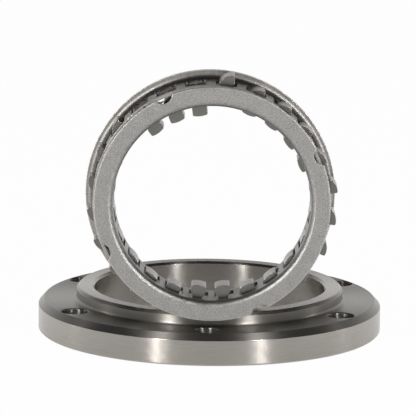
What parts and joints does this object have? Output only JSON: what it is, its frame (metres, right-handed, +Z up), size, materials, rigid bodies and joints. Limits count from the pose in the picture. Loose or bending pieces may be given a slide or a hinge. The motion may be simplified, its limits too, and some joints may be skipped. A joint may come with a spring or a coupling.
{
  "type": "starter clutch",
  "caption": "One-way starter clutch: a flanged steel housing with a raised collar and bolt holes, and a double-cage sprag ring that stands on the collar's rim.",
  "frame": {"origin": "on the housing's axis, at its flat underside", "axes": "+Z up along the housing's axis, towards the collar; -Y towards the side on which the sprag ring stands"},
  "size_m": [0.09, 0.09, 0.0732],
  "materials": {
    "housing_steel": "turned and ground, lightly oiled",
    "outer_sheet": "drawn sheet steel, bright",
    "plate_sheet": "tumbled sheet steel, matt",
    "sprag_steel": "tumbled hardened steel",
    "spring_steel": "stainless strip"
  },
  "bodies": {
    "housing": {"clutch_housing": "housing_steel"},
    "outer_cage": {"outer_cage": "outer_sheet", "ribbon_spring": "spring_steel"},
    "inner_cage": {"inner_cage": "plate_sheet"},
    "sprag_01": {"sprag_01": "sprag_steel"},
    "sprag_02": {"sprag_02": "sprag_steel"},
    "sprag_03": {"sprag_03": "sprag_steel"},
    "sprag_04": {"sprag_04": "sprag_steel"},
    "sprag_05": {"sprag_05": "sprag_steel"},
    "sprag_06": {"sprag_06": "sprag_steel"},
    "sprag_07": {"sprag_07": "sprag_steel"},
    "sprag_08": {"sprag_08": "sprag_steel"},
    "sprag_09": {"sprag_09": "sprag_steel"},
    "sprag_10": {"sprag_10": "sprag_steel"},
    "sprag_11": {"sprag_11": "sprag_steel"},
    "sprag_12": {"sprag_12": "sprag_steel"},
    "sprag_13": {"sprag_13": "sprag_steel"},
    "sprag_14": {"sprag_14": "sprag_steel"},
    "sprag_15": {"sprag_15": "sprag_steel"},
    "sprag_16": {"sprag_16": "sprag_steel"},
    "sprag_17": {"sprag_17": "sprag_steel"},
    "sprag_18": {"sprag_18": "sprag_steel"},
    "sprag_19": {"sprag_19": "sprag_steel"},
    "sprag_20": {"sprag_20": "sprag_steel"},
    "sprag_21": {"sprag_21": "sprag_steel"},
    "sprag_22": {"sprag_22": "sprag_steel"},
    "sprag_23": {"sprag_23": "sprag_steel"},
    "sprag_24": {"sprag_24": "sprag_steel"}
  },
  "joints": [
    {"name": "ring_lift", "type": "slide", "parent": "housing", "child": "outer_cage", "axis": [0, 0, 1], "range_m": [0, 0.05]},
    {"name": "inner_cage_shift", "type": "hinge", "parent": "outer_cage", "child": "inner_cage", "pos_m": [0.00035, -0.03367, 0.0409], "axis": [0, -1, 0], "range_deg": [-0.86, 0.86], "stiffness_Nm_per_rad": 0.2},
    {"name": "sprag_01_rock", "type": "hinge", "parent": "outer_cage", "child": "sprag_01", "pos_m": [0.02894, -0.03367, 0.04502], "axis": [0, -1, 0], "range_deg": [-6, 6]},
    {"name": "sprag_02_rock", "type": "hinge", "parent": "outer_cage", "child": "sprag_02", "pos_m": [0.02695, -0.03367, 0.05235], "axis": [0, -1, 0], "range_deg": [-6, 6]},
    {"name": "sprag_03_rock", "type": "hinge", "parent": "outer_cage", "child": "sprag_03", "pos_m": [0.02312, -0.03367, 0.05892], "axis": [0, -1, 0], "range_deg": [-6, 6]},
    {"name": "sprag_04_rock", "type": "hinge", "parent": "outer_cage", "child": "sprag_04", "pos_m": [0.01773, -0.03367, 0.06427], "axis": [0, -1, 0], "range_deg": [-6, 6]},
    {"name": "sprag_05_rock", "type": "hinge", "parent": "outer_cage", "child": "sprag_05", "pos_m": [0.01114, -0.03367, 0.06805], "axis": [0, -1, 0], "range_deg": [-6, 6]},
    {"name": "sprag_06_rock", "type": "hinge", "parent": "outer_cage", "child": "sprag_06", "pos_m": [0.0038, -0.03367, 0.06999], "axis": [0, -1, 0], "range_deg": [-6, 6]},
    {"name": "sprag_07_rock", "type": "hinge", "parent": "outer_cage", "child": "sprag_07", "pos_m": [-0.0038, -0.03367, 0.06996], "axis": [0, -1, 0], "range_deg": [-6, 6]},
    {"name": "sprag_08_rock", "type": "hinge", "parent": "outer_cage", "child": "sprag_08", "pos_m": [-0.01113, -0.03367, 0.06797], "axis": [0, -1, 0], "range_deg": [-6, 6]},
    {"name": "sprag_09_rock", "type": "hinge", "parent": "outer_cage", "child": "sprag_09", "pos_m": [-0.0177, -0.03367, 0.06415], "axis": [0, -1, 0], "range_deg": [-6, 6]},
    {"name": "sprag_10_rock", "type": "hinge", "parent": "outer_cage", "child": "sprag_10", "pos_m": [-0.02305, -0.03367, 0.05876], "axis": [0, -1, 0], "range_deg": [-6, 6]},
    {"name": "sprag_11_rock", "type": "hinge", "parent": "outer_cage", "child": "sprag_11", "pos_m": [-0.02682, -0.03367, 0.05217], "axis": [0, -1, 0], "range_deg": [-6, 6]},
    {"name": "sprag_12_rock", "type": "hinge", "parent": "outer_cage", "child": "sprag_12", "pos_m": [-0.02876, -0.03367, 0.04482], "axis": [0, -1, 0], "range_deg": [-6, 6]},
    {"name": "sprag_13_rock", "type": "hinge", "parent": "outer_cage", "child": "sprag_13", "pos_m": [-0.02874, -0.03367, 0.03723], "axis": [0, -1, 0], "range_deg": [-6, 6]},
    {"name": "sprag_14_rock", "type": "hinge", "parent": "outer_cage", "child": "sprag_14", "pos_m": [-0.02675, -0.03367, 0.0299], "axis": [0, -1, 0], "range_deg": [-6, 6]},
    {"name": "sprag_15_rock", "type": "hinge", "parent": "outer_cage", "child": "sprag_15", "pos_m": [-0.02292, -0.03367, 0.02333], "axis": [0, -1, 0], "range_deg": [-6, 6]},
    {"name": "sprag_16_rock", "type": "hinge", "parent": "outer_cage", "child": "sprag_16", "pos_m": [-0.01753, -0.03367, 0.01798], "axis": [0, -1, 0], "range_deg": [-6, 6]},
    {"name": "sprag_17_rock", "type": "hinge", "parent": "outer_cage", "child": "sprag_17", "pos_m": [-0.01094, -0.03367, 0.0142], "axis": [0, -1, 0], "range_deg": [-6, 6]},
    {"name": "sprag_18_rock", "type": "hinge", "parent": "outer_cage", "child": "sprag_18", "pos_m": [-0.0036, -0.03367, 0.01226], "axis": [0, -1, 0], "range_deg": [-6, 6]},
    {"name": "sprag_19_rock", "type": "hinge", "parent": "outer_cage", "child": "sprag_19", "pos_m": [0.004, -0.03367, 0.01229], "axis": [0, -1, 0], "range_deg": [-6, 6]},
    {"name": "sprag_20_rock", "type": "hinge", "parent": "outer_cage", "child": "sprag_20", "pos_m": [0.01133, -0.03367, 0.01428], "axis": [0, -1, 0], "range_deg": [-6, 6]},
    {"name": "sprag_21_rock", "type": "hinge", "parent": "outer_cage", "child": "sprag_21", "pos_m": [0.0179, -0.03367, 0.0181], "axis": [0, -1, 0], "range_deg": [-6, 6]},
    {"name": "sprag_22_rock", "type": "hinge", "parent": "outer_cage", "child": "sprag_22", "pos_m": [0.02325, -0.03367, 0.02349], "axis": [0, -1, 0], "range_deg": [-6, 6]},
    {"name": "sprag_23_rock", "type": "hinge", "parent": "outer_cage", "child": "sprag_23", "pos_m": [0.02702, -0.03367, 0.03008], "axis": [0, -1, 0], "range_deg": [-6, 6]},
    {"name": "sprag_24_rock", "type": "hinge", "parent": "outer_cage", "child": "sprag_24", "pos_m": [0.02896, -0.03367, 0.03743], "axis": [0, -1, 0], "range_deg": [-6, 6]}
  ],
  "couplings": [
    {"joint": "sprag_01_rock", "follows": "inner_cage_shift", "ratio": -6.9726},
    {"joint": "sprag_02_rock", "follows": "inner_cage_shift", "ratio": -6.9726},
    {"joint": "sprag_03_rock", "follows": "inner_cage_shift", "ratio": -6.9726},
    {"joint": "sprag_04_rock", "follows": "inner_cage_shift", "ratio": -6.9726},
    {"joint": "sprag_05_rock", "follows": "inner_cage_shift", "ratio": -6.9726},
    {"joint": "sprag_06_rock", "follows": "inner_cage_shift", "ratio": -6.9726},
    {"joint": "sprag_07_rock", "follows": "inner_cage_shift", "ratio": -6.9726},
    {"joint": "sprag_08_rock", "follows": "inner_cage_shift", "ratio": -6.9726},
    {"joint": "sprag_09_rock", "follows": "inner_cage_shift", "ratio": -6.9726},
    {"joint": "sprag_10_rock", "follows": "inner_cage_shift", "ratio": -6.9726},
    {"joint": "sprag_11_rock", "follows": "inner_cage_shift", "ratio": -6.9726},
    {"joint": "sprag_12_rock", "follows": "inner_cage_shift", "ratio": -6.9726},
    {"joint": "sprag_13_rock", "follows": "inner_cage_shift", "ratio": -6.9726},
    {"joint": "sprag_14_rock", "follows": "inner_cage_shift", "ratio": -6.9726},
    {"joint": "sprag_15_rock", "follows": "inner_cage_shift", "ratio": -6.9726},
    {"joint": "sprag_16_rock", "follows": "inner_cage_shift", "ratio": -6.9726},
    {"joint": "sprag_17_rock", "follows": "inner_cage_shift", "ratio": -6.9726},
    {"joint": "sprag_18_rock", "follows": "inner_cage_shift", "ratio": -6.9726},
    {"joint": "sprag_19_rock", "follows": "inner_cage_shift", "ratio": -6.9726},
    {"joint": "sprag_20_rock", "follows": "inner_cage_shift", "ratio": -6.9726},
    {"joint": "sprag_21_rock", "follows": "inner_cage_shift", "ratio": -6.9726},
    {"joint": "sprag_22_rock", "follows": "inner_cage_shift", "ratio": -6.9726},
    {"joint": "sprag_23_rock", "follows": "inner_cage_shift", "ratio": -6.9726},
    {"joint": "sprag_24_rock", "follows": "inner_cage_shift", "ratio": -6.9726}
  ]
}
